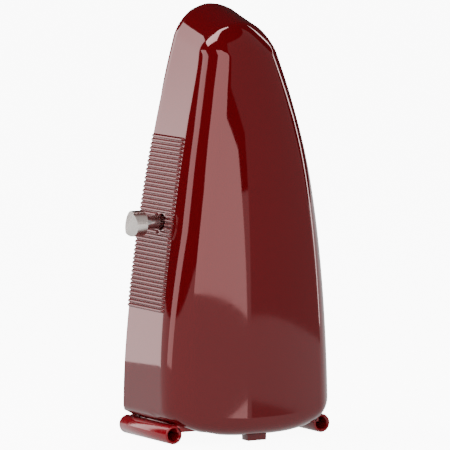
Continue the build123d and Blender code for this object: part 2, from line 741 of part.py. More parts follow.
with BuildPart() as pendulum_hub:
    with BuildSketch(Plane.XZ.offset(-ROD_Y + 1.5)):
        with Locations((0, PIVOT_Z)):
            Circle(3.2)
            Circle(1.0, mode=Mode.SUBTRACT)
    extrude(amount=-3.4)
    with BuildSketch(Plane.XZ.offset(-ROD_Y + ROD_T / 2)):
        with Locations((0, PIVOT_Z + 2.5)):
            Rectangle(ROD_W, 3.4)
    extrude(amount=-ROD_T, mode=Mode.SUBTRACT)
pendulum_hub.part.label = "pendulum_hub"
export_step(pendulum_hub.part, "parts/pendulum_hub.step")

with BuildPart() as pendulum_rod:
    with BuildSketch(Plane.XZ.offset(-ROD_Y + ROD_T / 2)):
        with Locations((0, (PIVOT_Z + 1.1 + ROD_TOP) / 2)):
            Rectangle(ROD_W, ROD_TOP - PIVOT_Z - 1.1)
    extrude(amount=-ROD_T)
pendulum_rod.part.label = "pendulum_rod"
export_step(pendulum_rod.part, "parts/pendulum_rod.step")

with BuildPart() as counterweight_arm:
    with BuildSketch(Plane.XZ.offset(7.6)):
        with Locations((0, PIVOT_Z)):
            Circle(2.6)
        with Locations((0, (PIVOT_Z + BOB_Z) / 2)):
            Rectangle(4.0, PIVOT_Z - BOB_Z)
        with Locations((0, BOB_Z)):
            Circle(4.0)
            Circle(1.2, mode=Mode.SUBTRACT)
        with Locations((0, PIVOT_Z)):
            Circle(1.0, mode=Mode.SUBTRACT)
    extrude(amount=-1.4)
counterweight_arm.part.label = "counterweight_arm"
export_step(counterweight_arm.part, "parts/counterweight_arm.step")

with BuildPart() as counterweight:
    with BuildSketch(Plane.XZ.offset(6.2)):
        with Locations((0, BOB_Z)):
            Circle(BOB_R)
            Circle(1.2, mode=Mode.SUBTRACT)
    extrude(amount=-8.5)
counterweight.part.label = "counterweight"
export_step(counterweight.part, "parts/counterweight.step")

with BuildPart() as counterweight_rivet:
    with BuildSketch(Plane.XZ.offset(7.6)):
        with Locations((0, BOB_Z)):
            Circle(1.2)
    extrude(amount=-9.9)
    with BuildSketch(Plane.XZ.offset(-2.3)):
        with Locations((0, BOB_Z)):
            Circle(2.2)
    extrude(amount=-0.8)
counterweight_rivet.part.label = "counterweight_rivet"
export_step(counterweight_rivet.part, "parts/counterweight_rivet.step")


# ---- tempo weight: slides along the rod, held by a leaf spring -----------
with BuildPart() as tempo_weight:
    with BuildSketch(Plane.XZ.offset(-ROD_Y + 2.8)):
        with BuildLine():
            Polyline((-4.6, TEMPO_Z - 5.0), (4.6, TEMPO_Z - 5.0), (6.4, TEMPO_Z + 4.0),
                     (5.6, TEMPO_Z + 5.0), (-5.6, TEMPO_Z + 5.0), (-6.4, TEMPO_Z + 4.0), close=True)
        make_face()
    extrude(amount=-5.0)
    with BuildSketch(Plane.XY.offset(TEMPO_Z - 8.0)):
        with Locations((0, ROD_Y + 0.2)):
            Rectangle(ROD_W + 0.1, ROD_T + 0.5)
    extrude(amount=16.0, mode=Mode.SUBTRACT)
tempo_weight.part.label = "tempo_weight"
export_step(tempo_weight.part, "parts/tempo_weight.step")

with BuildPart() as tempo_spring:
    with BuildSketch(Plane.XY.offset(TEMPO_Z - 4.0)):
        with Locations((0, ROD_Y + ROD_T / 2 + 0.3 - 0.12)):
            Rectangle(2.4, 0.25)
    extrude(amount=8.0)
tempo_spring.part.label = "tempo_spring"
export_step(tempo_spring.part, "parts/tempo_spring.step")


# ---- rod latch: a fork that folds down over the rod tip ------------------
LATCH_Z = 144.0
with BuildPart() as rod_latch:
    with BuildSketch(Plane.YZ.offset(-3.0)):
        with Locations((ROD_Y, LATCH_Z)):
            Circle(1.5)
            Circle(0.63, mode=Mode.SUBTRACT)
    extrude(amount=6.0)
    for x in (-3.0, 1.9):
        with BuildSketch(Plane.YZ.offset(x)):
            with Locations((ROD_Y, LATCH_Z + 4.0)):
                Rectangle(1.6, 5.4)
        extrude(amount=1.1)
rod_latch.part.label = "rod_latch"
export_step(rod_latch.part, "parts/rod_latch.step")

with BuildPart() as latch_pin:
    with BuildSketch(Plane.YZ.offset(-4.6)):
        with Locations((ROD_Y, LATCH_Z)):
            Circle(0.6)
    extrude(amount=9.2)
latch_pin.part.label = "latch_pin"
export_step(latch_pin.part, "parts/latch_pin.step")
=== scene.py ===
import math

import bmesh
import bpy
import numpy as np
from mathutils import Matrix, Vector


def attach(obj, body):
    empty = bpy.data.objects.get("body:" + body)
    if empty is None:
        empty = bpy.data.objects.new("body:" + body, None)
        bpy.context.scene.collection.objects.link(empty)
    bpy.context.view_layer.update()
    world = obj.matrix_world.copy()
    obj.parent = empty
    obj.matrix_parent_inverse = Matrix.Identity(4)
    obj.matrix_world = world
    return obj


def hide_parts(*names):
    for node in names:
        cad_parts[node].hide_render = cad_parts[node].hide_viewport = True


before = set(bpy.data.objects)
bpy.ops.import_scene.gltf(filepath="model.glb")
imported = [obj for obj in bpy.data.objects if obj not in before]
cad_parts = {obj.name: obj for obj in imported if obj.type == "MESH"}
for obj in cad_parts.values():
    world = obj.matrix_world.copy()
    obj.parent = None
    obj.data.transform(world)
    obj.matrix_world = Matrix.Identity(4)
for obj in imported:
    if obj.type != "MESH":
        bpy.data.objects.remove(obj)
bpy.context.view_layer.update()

# ---- Base plate and feet --------------------------------------------------
# One moulding in glossy red plastic: a flat plate under the movement with a
# hollow tube along each side that the instrument stands on. The tube mouths
# are chamfered, and the case shell drops over the edge of the plate.
MM = 0.001      # the object's sizes and places are in millimetres, the studio's in metres
FOOT_X, FOOT_R, FOOT_BORE = 31.73, 3.48, 2.3
FOOT_FRONT, FOOT_REAR = -18.0, 17.47
FOOT_RIM = ((0.0, 2.75), (0.0, 3.2), (0.1, 3.38), (0.35, FOOT_R))      # (inset, radius) from mouth to skin
MOUTH_DEPTH = 0.5
PLATE_HALF_WIDTH, PLATE_LOW, PLATE_HIGH = 30.4, 4.2, 7.0


def make_object(name, bm, smooth_angle=35.0):
    bmesh.ops.recalc_face_normals(bm, faces=bm.faces)
    for f in bm.faces:
        f.smooth = True
    for e in bm.edges:
        if len(e.link_faces) == 2 and e.calc_face_angle() > math.radians(smooth_angle):
            e.smooth = False
    me = bpy.data.meshes.new(name)
    bm.to_mesh(me)
    bm.free()
    o = bpy.data.objects.new(name, me)
    bpy.context.collection.objects.link(o)
    return o


def turned(bm, profile, origin, axis, across, segments=64):
    # a closed profile of (along, radius) pairs in mm, turned about an axis
    origin, axis, across = Vector(origin), Vector(axis), Vector(across)
    third = axis.cross(across)
    rings = []
    for along, radius in profile:
        if radius < 1e-6:
            v = bm.verts.new((origin + axis * along) * MM)
            rings.append([v] * segments)
            continue
        ring = []
        for k in range(segments):
            a = 2 * math.pi * k / segments
            spoke = across * math.cos(a) + third * math.sin(a)
            ring.append(bm.verts.new((origin + axis * along + spoke * radius) * MM))
        rings.append(ring)
    pairs = list(zip(rings, rings[1:]))
    if profile[0][1] > 1e-6 and profile[-1][1] > 1e-6:
        pairs.append((rings[-1], rings[0]))
    for a, b in pairs:
        for k in range(segments):
            k2 = (k + 1) % segments
            quad = []
            for v in (a[k], a[k2], b[k2], b[k]):
                if v not in quad:
                    quad.append(v)
            if len(quad) > 2:
                bm.faces.new(quad)


def block(bm, low, high, bevel=0.0, segments=2):
    # a box between two corners in mm with broken edges
    verts = bmesh.ops.create_cube(bm, size=1.0)["verts"]
    low, high = Vector(low), Vector(high)
    for v in verts:
        v.co = Vector([(low[k] + high[k]) / 2 + v.co[k] * (high[k] - low[k]) for k in range(3)]) * MM
    if bevel > 0:
        edges = list({e for v in verts for e in v.link_edges})
        bmesh.ops.bevel(bm, geom=edges, offset=bevel * MM, segments=segments, affect="EDGES", profile=0.5)


def gloss_plastic(name, colour, deep, roughness, orange_peel, scale):
    # injection-moulded plastic: nearly even colour, faint flow clouding,
    # a very shallow surface wave and a few fine handling scuffs
    m = bpy.data.materials.new(name)
    m.use_nodes = True
    nt = m.node_tree
    nt.nodes.clear()
    out = nt.nodes.new("ShaderNodeOutputMaterial")
    bsdf = nt.nodes.new("ShaderNodeBsdfPrincipled")
    coord = nt.nodes.new("ShaderNodeTexCoord")
    cloud = nt.nodes.new("ShaderNodeTexNoise")
    cloud.inputs["Scale"].default_value = scale
    cloud.inputs["Detail"].default_value = 3.0
    mix = nt.nodes.new("ShaderNodeMix")
    mix.data_type = "RGBA"
    mix.inputs[6].default_value = (*colour, 1)
    mix.inputs[7].default_value = (*deep, 1)
    scuff = nt.nodes.new("ShaderNodeTexNoise")
    scuff.inputs["Scale"].default_value = scale * 22
    scuff.inputs["Detail"].default_value = 6.0
    rough = nt.nodes.new("ShaderNodeMapRange")
    rough.inputs["From Min"].default_value = 0.35
    rough.inputs["From Max"].default_value = 0.75
    rough.inputs["To Min"].default_value = roughness
    rough.inputs["To Max"].default_value = roughness * 1.8
    wave = nt.nodes.new("ShaderNodeTexNoise")
    wave.inputs["Scale"].default_value = scale * 5
    bump = nt.nodes.new("ShaderNodeBump")
    bump.inputs["Strength"].default_value = orange_peel
    bump.inputs["Distance"].default_value = 0.000006
    for node in (cloud, scuff, wave):
        nt.links.new(coord.outputs["Object"], node.inputs["Vector"])
    nt.links.new(cloud.outputs["Fac"], mix.inputs[0])
    nt.links.new(mix.outputs[2], bsdf.inputs["Base Color"])
    nt.links.new(scuff.outputs["Fac"], rough.inputs["Value"])
    nt.links.new(rough.outputs["Result"], bsdf.inputs["Roughness"])
    nt.links.new(wave.outputs["Fac"], bump.inputs["Height"])
    nt.links.new(bump.outputs["Normal"], bsdf.inputs["Normal"])
    bsdf.inputs["IOR"].default_value = 1.52
    bsdf.inputs["Specular Tint"].default_value = (1.0, 0.58, 0.58, 1.0)
    nt.links.new(bsdf.outputs["BSDF"], out.inputs["Surface"])
    return m


bm = bmesh.new()
tube = [(FOOT_FRONT + inset, radius) for inset, radius in FOOT_RIM]
tube += [(FOOT_REAR - inset, radius) for inset, radius in reversed(FOOT_RIM)]
tube += [(FOOT_REAR - MOUTH_DEPTH, FOOT_BORE), (FOOT_FRONT + MOUTH_DEPTH, FOOT_BORE)]
for x in (-FOOT_X, FOOT_X):
    turned(bm, tube, (x, 0, FOOT_R), (0, 1, 0), (1, 0, 0), segments=72)
block(bm, (-PLATE_HALF_WIDTH, FOOT_FRONT, PLATE_LOW), (PLATE_HALF_WIDTH, FOOT_REAR, PLATE_HIGH), bevel=0.3)
base_plate = make_object("base_moulding", bm)
red_gloss = gloss_plastic("red_gloss", (0.15, 0.002, 0.006), (0.12, 0.0016, 0.005), 0.12, 0.05, 25.0)
base_plate.data.materials.append(red_gloss)
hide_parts("base_plate")
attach(base_plate, "case")

# ---- Movement frame -------------------------------------------------------
# Two plates of rolled sheet brass held apart by four turned steel pillars,
# with pressed-in brass bushes and two small brackets. Screws hold the frame
# together and down to the base.


def worked_metal(name, light, dark, roughness, stretch, scale, stain=0.15):
    # metal with the fine lines its tool left, and a little uneven tarnish
    m = bpy.data.materials.new(name)
    m.use_nodes = True
    nt = m.node_tree
    bsdf = nt.nodes["Principled BSDF"]
    coord = nt.nodes.new("ShaderNodeTexCoord")
    mapping = nt.nodes.new("ShaderNodeMapping")
    mapping.inputs["Scale"].default_value = stretch
    lines = nt.nodes.new("ShaderNodeTexNoise")
    lines.inputs["Scale"].default_value = scale
    lines.inputs["Detail"].default_value = 5.0
    spots = nt.nodes.new("ShaderNodeTexNoise")
    spots.inputs["Scale"].default_value = 140.0
    spots.inputs["Detail"].default_value = 4.0
    ramp = nt.nodes.new("ShaderNodeMapRange")
    ramp.inputs["From Min"].default_value = 0.35
    ramp.inputs["From Max"].default_value = 0.65 + stain
    mix = nt.nodes.new("ShaderNodeMix")
    mix.data_type = "RGBA"
    mix.inputs[6].default_value = (*light, 1)
    mix.inputs[7].default_value = (*dark, 1)
    rough = nt.nodes.new("ShaderNodeMapRange")
    rough.inputs["To Min"].default_value = roughness * 0.7
    rough.inputs["To Max"].default_value = roughness * 1.4
    bump = nt.nodes.new("ShaderNodeBump")
    bump.inputs["Strength"].default_value = 0.12
    bump.inputs["Distance"].default_value = 0.00002
    nt.links.new(coord.outputs["Object"], mapping.inputs["Vector"])
    nt.links.new(mapping.outputs["Vector"], lines.inputs["Vector"])
    nt.links.new(coord.outputs["Object"], spots.inputs["Vector"])
    nt.links.new(spots.outputs["Fac"], ramp.inputs["Value"])
    nt.links.new(ramp.outputs["Result"], mix.inputs[0])
    nt.links.new(mix.outputs[2], bsdf.inputs["Base Color"])
    nt.links.new(lines.outputs["Fac"], rough.inputs["Value"])
    nt.links.new(rough.outputs["Result"], bsdf.inputs["Roughness"])
    nt.links.new(lines.outputs["Fac"], bump.inputs["Height"])
    nt.links.new(bump.outputs["Normal"], bsdf.inputs["Normal"])
    bsdf.inputs["Metallic"].default_value = 1.0
    return m


def dress(material, *names):
    # gives carried-over parts their material
    for n in names:
        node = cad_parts[n]
        node.data.materials.clear()
        node.data.materials.append(material)


rolled_brass = worked_metal("rolled_brass", (0.72, 0.52, 0.23), (0.55, 0.36, 0.14), 0.30, (1, 1, 12), 260.0)
turned_brass = worked_metal("turned_brass", (0.78, 0.58, 0.26), (0.60, 0.41, 0.16), 0.22, (14, 1, 1), 300.0)
turned_steel = worked_metal("turned_steel", (0.60, 0.59, 0.58), (0.42, 0.41, 0.40), 0.22, (14, 1, 1), 300.0)
plated_screw = worked_metal("plated_screw", (0.66, 0.66, 0.66), (0.48, 0.48, 0.47), 0.28, (4, 4, 4), 300.0)
dress(rolled_brass, "movement_plate_right", "movement_plate_left", "staff_bridge", "escape_bridge")
dress(turned_brass, "arbor_bushes", "staff_bush")
dress(turned_steel, "frame_pillars")
dress(plated_screw, "frame_screws", "movement_screws")

# ---- Barrel and mainspring ------------------------------------------------
# The great wheel carries a brass drum with a snapped-in cover. A blued steel
# strip is coiled inside and drives the train.
cut_brass = worked_metal("cut_brass", (0.80, 0.61, 0.28), (0.64, 0.45, 0.18), 0.25, (1, 9, 9), 240.0)
blued_spring = worked_metal("blued_spring", (0.24, 0.26, 0.36), (0.15, 0.16, 0.22), 0.28, (12, 1, 1), 260.0)
dress(cut_brass, "great_wheel", "barrel_drum", "barrel_cover")
dress(blued_spring, "mainspring")

# ---- Wheel train ----------------------------------------------------------
# Brass wheels and turned steel pinions on steel arbors step the speed up
# from the barrel to the crown wheel that drives the pallets.
dress(cut_brass, "intermediate_wheel", "crown_wheel")
dress(turned_steel, "intermediate_arbor", "intermediate_pinion", "escape_arbor", "escape_pinion")

# ---- Ratchet and click ----------------------------------------------------
# Hardened steel ratchet wheel on the winding arbor, with a click, its
# shoulder screw and a thin spring on the right plate.
dress(turned_steel, "ratchet_wheel", "click")
dress(plated_screw, "click_screw")
dress(blued_spring, "click_spring")

# ---- Case shell -----------------------------------------------------------
# One injection moulding in glossy ruby plastic: both sides, the roof, the
# crowned back and the small third foot. It drops over the base plate, is open
# at the front, and its right side has the hole for the winding key.
WALL = 2.0
KEY_Y, KEY_Z, KEY_HOLE_R = 4.2, 81.0, 3.0
KEY_WINDOW = 4.4                            # half the square opened round the key hole
ROOF_TOP, ROOF_Y, ROOF_SLOPE = 159.94, -9.0, 0.578
RIDGE_ROUND, EAVES_ROUND = 3.65, 5.1
SIDE_LEAN, ROOF_LEAN = 0.98, 0.83           # level gap to gap square to the face
EDGE_Z = 2.5                                # lower edge of the case in the middle
MID_Z, HALF_Z = 80.0, 80.0                  # the height as a share from -1 to 1


def side_half_width(z):
    s = (np.minimum(z, 141.0) - MID_Z) / HALF_Z
    w = 29.85 - 11.78 * s - 5.42 * s**2 + 0.5 * s**3 - 1.55 * s**4
    return w - 0.273 * np.maximum(z - 141.0, 0.0)


def front_y(z):
    s = (np.clip(z, 0.0, 160.0) - MID_Z) / HALF_Z
    return -12.6 + 2.68 * s - 1.56 * s**2


def back_y(z):
    s = (z - MID_Z) / HALF_Z
    return 27.95 - 0.88 * s - 5.42 * s**2 - 6.2 * s**3


def back_crown(z):
    # radius of the crowned back: flatter towards the bottom
    return np.maximum(101.2 - 0.0035 * z**2, 15.0)


def round_max(a, b, r):
    # two faces meeting in a rounded edge of radius r
    return np.minimum(np.maximum(a, b), -r) + np.hypot(np.maximum(a + r, 0.0), np.maximum(b + r, 0.0))


def smooth_step(x, lo, hi):
    t = np.clip((x - lo) / (hi - lo), 0.0, 1.0)
    return t * t * (3.0 - 2.0 * t)


def shell_body(x, y, z):
    # leaning sides and a gable roof that falls away from the front arch
    t = np.maximum(y - ROOF_Y, 0.0)
    zz = z + (0.315 * t - 0.0015 * t**2) * smooth_step(z, 95.0, 150.0)
    side = (np.abs(x) - side_half_width(zz)) * SIDE_LEAN
    roof = (zz - ROOF_TOP - RIDGE_ROUND + np.sqrt((ROOF_SLOPE * x)**2 + RIDGE_ROUND**2)) * ROOF_LEAN
    arch = round_max(side, roof, EAVES_ROUND)
    crown = back_crown(z)
    back = np.hypot(x, np.maximum(y - (back_y(z) - crown), 0.0)) - crown
    return round_max(arch, back, 8.5 - 1.4 * smooth_step(z, 115.0, 150.0))


def bottom_edge(x):
    return EDGE_Z + 5.2 * np.clip(np.abs(x) / 32.0, 0.0, 1.1)**3


def shell_above_edge(x, y, z):
    # the lower edge is rounded more at the back than at the sides
    behind = np.clip((y - 8.0) / 12.0, 0.0, 1.0)
    return round_max(shell_body(x, y, z), bottom_edge(x) - z, 1.2 + 4.3 * behind)


def shell_skin(x, y, z):
    return round_max(shell_above_edge(x, y, z), front_y(z) - y, 1.0)


def shell_inside(x, y, z):
    return shell_above_edge(x, y, z) + WALL


def cast(field, origin, direction, steps=36):
    # where each ray from inside leaves the shape
    near = np.zeros(len(origin))
    far = np.full(len(origin), 60.0)
    for _ in range(steps):
        mid = 0.5 * (near + far)
        p = origin + direction * mid[:, None]
        inside = field(p[:, 0], p[:, 1], p[:, 2]) < 0.0
        near = np.where(inside, mid, near)
        far = np.where(inside, far, mid)
    return origin + direction * near[:, None]


def sweep(field, spine, tilt, start, sweeps, behind_front, skirt):
    # every row: rays turning from the front rim round to the middle of the back
    n, m = len(spine), sweeps.shape[1]
    angle = start[:, None] + (math.pi / 2 - start[:, None]) * sweeps
    y0 = np.repeat((front_y(spine) + behind_front)[:, None], m, 1)
    z0 = np.repeat(spine[:, None], m, 1)
    d = np.stack([np.cos(angle) * np.cos(tilt)[:, None], np.sin(angle),
                  np.cos(angle) * np.sin(tilt)[:, None]], -1).reshape(-1, 3)
    # rows near the bottom follow the rising lower edge
    lift = np.zeros((n, m))
    for _ in range(4):
        o = np.stack([np.zeros(n * m), y0.ravel(), (z0 + lift).ravel()], 1)
        p = cast(field, o, d, 26).reshape(n, m, 3)
        fade = np.clip(1.0 - (spine - EDGE_Z) / 28.0, 0.0, 1.0)[:, None]
        lift = (bottom_edge(p[..., 0]) - EDGE_Z) * fade
        if skirt:
            lift = lift + WALL * 1.02 * np.clip(1.0 - (spine - EDGE_Z) / 12.0, 0.0, 1.0)[:, None]
    o = np.stack([np.zeros(n * m), y0.ravel(), (z0 + lift).ravel()], 1)
    return cast(field, o, d).reshape(n, m, 3)


# level rows up to the shoulder, then rows that tilt until the last stands upright
COLUMNS, LEVEL_ROWS, TILTED_ROWS = 112, 86, 84
SHOULDER_Z, SPINE_RISE = 120.0, 18.0
low = EDGE_Z + np.array([0.02, 0.12, 0.4, 0.85, 1.5, 2.3, 3.2, 4.2, 5.5, 7.0])
rise = np.linspace(0.0, 1.0, TILTED_ROWS + 1)[1:]
spine = np.concatenate([low, np.linspace(11.0, SHOULDER_Z, LEVEL_ROWS), SHOULDER_Z + SPINE_RISE * rise**1.3])
tilt = np.concatenate([np.zeros(len(low) + LEVEL_ROWS), np.linspace(0.0, math.pi / 2, TILTED_ROWS + 1)[1:]])
reach = np.where(tilt > 0, 22.0 + 18.0 * np.sin(tilt), side_half_width(spine))
start = np.arctan2(-3.0, reach - 3.0)
coarse = np.tile(np.linspace(0.0, 1.0, 260), (len(spine), 1))
trial = sweep(shell_skin, spine, tilt, start, coarse, 3.0, False)
step = np.diff(trial, axis=1)
length = np.linalg.norm(step, axis=2)
unit = step / np.maximum(length, 1e-9)[..., None]
turn = np.arccos(np.clip((unit[:, 1:] * unit[:, :-1]).sum(2), -1.0, 1.0))
weight = length / 1.1
weight[:, 1:] += np.minimum(turn, 0.3) / math.radians(2.4)
along = np.concatenate([np.zeros((len(spine), 1)), np.cumsum(weight, 1)], 1)
# columns stand closer where the skin turns, evened out so that rows stay in line
along /= along[:, -1:]
kernel = np.ones(9) / 9
along = np.pad(along, ((4, 4), (0, 0)), mode="edge")
along = np.apply_along_axis(lambda column: np.convolve(column, kernel, "valid"), 0, along)
even = np.linspace(0.0, 1.0, COLUMNS)
sweeps = np.array([np.interp(even, along[i] / along[i, -1], coarse[i]) for i in range(len(spine))])
outer = sweep(shell_skin, spine, tilt, start, sweeps, 3.0, False)
inner = sweep(shell_inside, spine, tilt, np.zeros(len(spine)), np.tile(even**0.8, (len(spine), 1)), 0.0, True)
outer[:, 0, 1] = front_y(outer[:, 0, 2])
inner[:, 0, 1] = front_y(inner[:, 0, 2])
outer[:, -1, 0] = 0.0
inner[:, -1, 0] = 0.0
outer[-1, :, 0] = 0.0
inner[-1, :, 0] = 0.0



def half_shell(bm, side):
    # one half of the case; gives back the faces left open for the key hole
    grids = []
    for surface in (outer, inner):
        corners = surface * np.array([side, 1.0, 1.0]) * MM
        grids.append([[bm.verts.new(p) for p in row] for row in corners])
    skin, lining = grids
    rows, cols = len(skin), len(skin[0])
    window = []

    def face(*v):
        bm.faces.new(v if side > 0 else v[::-1])

    for i in range(rows - 1):
        for j in range(cols - 1):
            for surface, flip in ((skin, False), (lining, True)):
                quad = [surface[i][j], surface[i][j + 1], surface[i + 1][j + 1], surface[i + 1][j]]
                centre = sum((v.co for v in quad), Vector()) / 4 / MM
                off = max(abs(centre.y - KEY_Y), abs(centre.z - KEY_Z))
                if side > 0 and centre.x > 20 and off < KEY_WINDOW:
                    window.append((flip, quad))
                    continue
                face(*(quad[::-1] if flip else quad))
        face(skin[i][0], skin[i + 1][0], lining[i + 1][0], lining[i][0])
    for j in range(cols - 1):
        face(skin[0][j + 1], skin[0][j], lining[0][j], lining[0][j + 1])
    return window


# (share of the way to a circle, radius beyond the hole, depth below the face)
KEY_HOLE_RINGS = ((0.35, 0.5, 0.0), (0.7, 0.4, 0.0), (1.0, 0.25, 0.0),
                  (1.0, 0.12, 0.05), (1.0, 0.03, 0.14), (1.0, 0.0, 0.28))


def window_edge(quads):
    # the corners round the opened window, in order
    edges = {}
    for quad in quads:
        for k in range(4):
            a, b = quad[k], quad[(k + 1) % 4]
            if (b, a) in edges:
                del edges[(b, a)]
            else:
                edges[(a, b)] = True
    follow = {a: b for a, b in edges}
    first = next(iter(follow))
    loop = [first]
    while follow[loop[-1]] is not first:
        loop.append(follow[loop[-1]])
    return loop


def key_hole_face(bm, loop, field, lining):
    # rings from the opened window down to a softly broken round edge
    outwards = -1 if lining else 1
    rings = [loop]
    for share, beyond, sink in KEY_HOLE_RINGS:
        radius = KEY_HOLE_R + beyond
        ring = []
        for v in loop:
            y, z = v.co.y / MM - KEY_Y, v.co.z / MM - KEY_Z
            a = math.atan2(z, y)
            py = y + (radius * math.cos(a) - y) * share + KEY_Y
            pz = z + (radius * math.sin(a) - z) * share + KEY_Z
            px = cast(field, np.array([[0.0, py, pz]]), np.array([[1.0, 0.0, 0.0]]))[0, 0]
            ring.append(bm.verts.new(((px - sink * outwards) * MM, py * MM, pz * MM)))
        rings.append(ring)
    for r0, r1 in zip(rings, rings[1:]):
        for k in range(len(loop)):
            k2 = (k + 1) % len(loop)
            quad = [r0[k], r0[k2], r1[k2], r1[k]]
            bm.faces.new(quad[::-1] if lining else quad)
    return rings[-1]


bm = bmesh.new()
window = half_shell(bm, 1)
half_shell(bm, -1)
lip = []
for lining, field in ((False, shell_skin), (True, shell_inside)):
    loop = window_edge([quad for flip, quad in window if flip == lining])
    rim = key_hole_face(bm, loop, field, lining)
    for k in range(len(rim)):
        lip.append(bm.edges.get((rim[k], rim[(k + 1) % len(rim)])))
bmesh.ops.bridge_loops(bm, edges=lip)
bmesh.ops.remove_doubles(bm, verts=bm.verts, dist=0.00001)
bmesh.ops.recalc_face_normals(bm, faces=bm.faces)

# the third foot: a small moulded block with broken edges under the back
block(bm, (-4.0, 19.2, 0.0), (4.0, 24.0, 7.0), bevel=0.35, segments=3)
case_shell = make_object("case_shell_moulding", bm, 50.0)
ruby_gloss = gloss_plastic("ruby_gloss", (0.064, 0.0014, 0.0028), (0.054, 0.0012, 0.0023), 0.03, 0.04, 18.0)
case_shell.data.materials.append(ruby_gloss)
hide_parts("case_shell")
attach(case_shell, "case")

# ---- Ribbed grips ---------------------------------------------------------
# Forty-one fine rounded ribs moulded on each side of the case where it is
# held. One bar is shaped and repeated up the side, each bar shifted inwards
# to follow the lean of the side.
RIBS, RIB_PITCH, RIB_Z = 41, 1.57, 48.9
RIB_PROUD, RIB_HALF, RIB_SUNK = 0.74, 0.76, 0.25
RIB_LENGTH, RIB_END = 22.0, 1.0
HOLE_GAP = 3.95


def rib_bar(length):
    # a bar of this length along Y with a rounded top and a rounded rear end
    bm = bmesh.new()
    rows = []
    arc = [math.pi * k / 12 for k in range(13)]
    stations = [0.0, 0.4, length * 0.33, length * 0.66, length - 1.6]
    stations += [length - back for back in (1.0, 0.55, 0.25, 0.06)]
    for y in stations:
        past = max(y - (length - RIB_END), 0.0) / RIB_END
        s = math.sqrt(1.0 - past * past)
        row = [bm.verts.new((-RIB_SUNK * MM, y * MM, -RIB_HALF * s * MM))]
        for a in arc:
            proud, beside = RIB_PROUD * s * math.sin(a)**2, -RIB_HALF * s * math.cos(a)
            row.append(bm.verts.new((proud * MM, y * MM, beside * MM)))
        row.append(bm.verts.new((-RIB_SUNK * MM, y * MM, RIB_HALF * s * MM)))
        rows.append(row)
    for r0, r1 in zip(rows, rows[1:]):
        for k in range(len(r0)):
            k2 = (k + 1) % len(r0)
            bm.faces.new((r0[k], r0[k2], r1[k2], r1[k]))
    bm.faces.new(rows[0][::-1])
    bm.faces.new(rows[-1])
    return make_object("rib_bar", bm, 50.0)


bar = rib_bar(RIB_LENGTH)
rib_z = RIB_Z + RIB_PITCH * np.arange(RIBS)
probe = np.stack([np.zeros(RIBS), np.full(RIBS, 2.0), rib_z], 1)
flank = cast(shell_skin, probe, np.tile([1.0, 0.0, 0.0], (RIBS, 1)))[:, 0]


def rib_points(around_hole):
    # one point a rib, or two where the key hole parts it; the rear ends follow
    # the start of the rounded corner
    verts, lengths = [], []
    for k, z in enumerate(rib_z):
        y0 = front_y(z) + 0.9
        crown = back_crown(z)
        corner = back_y(z) - crown + math.sqrt(crown**2 - (flank[k] - 4.0)**2) - 9.6 - 1.2 * k / RIBS
        spans = [(y0, corner)]
        if around_hole and abs(z - KEY_Z) < HOLE_GAP - 0.05:
            half = math.sqrt(HOLE_GAP**2 - (z - KEY_Z)**2)
            spans = [(y0, KEY_Y - half), (KEY_Y + half, corner)]
        for start_y, end_y in spans:
            verts.append((flank[k] * MM, start_y * MM, z * MM))
            lengths.append((end_y - start_y) / RIB_LENGTH)
    points = bpy.data.meshes.new("rib_points")
    points.from_pydata(verts, [], [])
    attr = points.attributes.new("stretch", "FLOAT", "POINT")
    attr.data.foreach_set("value", lengths)
    host = bpy.data.objects.new("rib_host", points)
    bpy.context.collection.objects.link(host)
    return host


ribs_group = bpy.data.node_groups.new("ribs", "GeometryNodeTree")
ribs_group.interface.new_socket("Points", in_out="INPUT", socket_type="NodeSocketGeometry")
ribs_group.interface.new_socket("Bar", in_out="INPUT", socket_type="NodeSocketObject")
ribs_group.interface.new_socket("Material", in_out="INPUT", socket_type="NodeSocketMaterial")
ribs_group.interface.new_socket("Ribs", in_out="OUTPUT", socket_type="NodeSocketGeometry")
g = ribs_group.nodes
g_in, g_out = g.new("NodeGroupInput"), g.new("NodeGroupOutput")
info, place = g.new("GeometryNodeObjectInfo"), g.new("GeometryNodeInstanceOnPoints")
stretch, combine = g.new("GeometryNodeInputNamedAttribute"), g.new("ShaderNodeCombineXYZ")
real, paint = g.new("GeometryNodeRealizeInstances"), g.new("GeometryNodeSetMaterial")
stretch.data_type = "FLOAT"
stretch.inputs["Name"].default_value = "stretch"
combine.inputs["X"].default_value = 1.0
combine.inputs["Z"].default_value = 1.0
L = ribs_group.links
L.new(g_in.outputs["Points"], place.inputs["Points"])
L.new(g_in.outputs["Bar"], info.inputs["Object"])
L.new(info.outputs["Geometry"], place.inputs["Instance"])
L.new(stretch.outputs["Attribute"], combine.inputs["Y"])
L.new(combine.outputs["Vector"], place.inputs["Scale"])
L.new(place.outputs["Instances"], real.inputs["Geometry"])
L.new(real.outputs["Geometry"], paint.inputs["Geometry"])
L.new(g_in.outputs["Material"], paint.inputs["Material"])
L.new(paint.outputs["Geometry"], g_out.inputs["Ribs"])


def repeat_ribs(around_hole):
    host = rib_points(around_hole)
    mod = host.modifiers.new("ribs", "NODES")
    mod.node_group = ribs_group
    for item in ribs_group.interface.items_tree:
        if item.in_out == "INPUT" and item.name == "Bar":
            mod[item.identifier] = bar
        if item.in_out == "INPUT" and item.name == "Material":
            mod[item.identifier] = ruby_gloss
    bpy.context.view_layer.update()
    view = bpy.context.evaluated_depsgraph_get()
    mesh = bpy.data.meshes.new_from_object(host.evaluated_get(view))
    host.modifiers.clear()
    bpy.data.objects.remove(host)
    return mesh


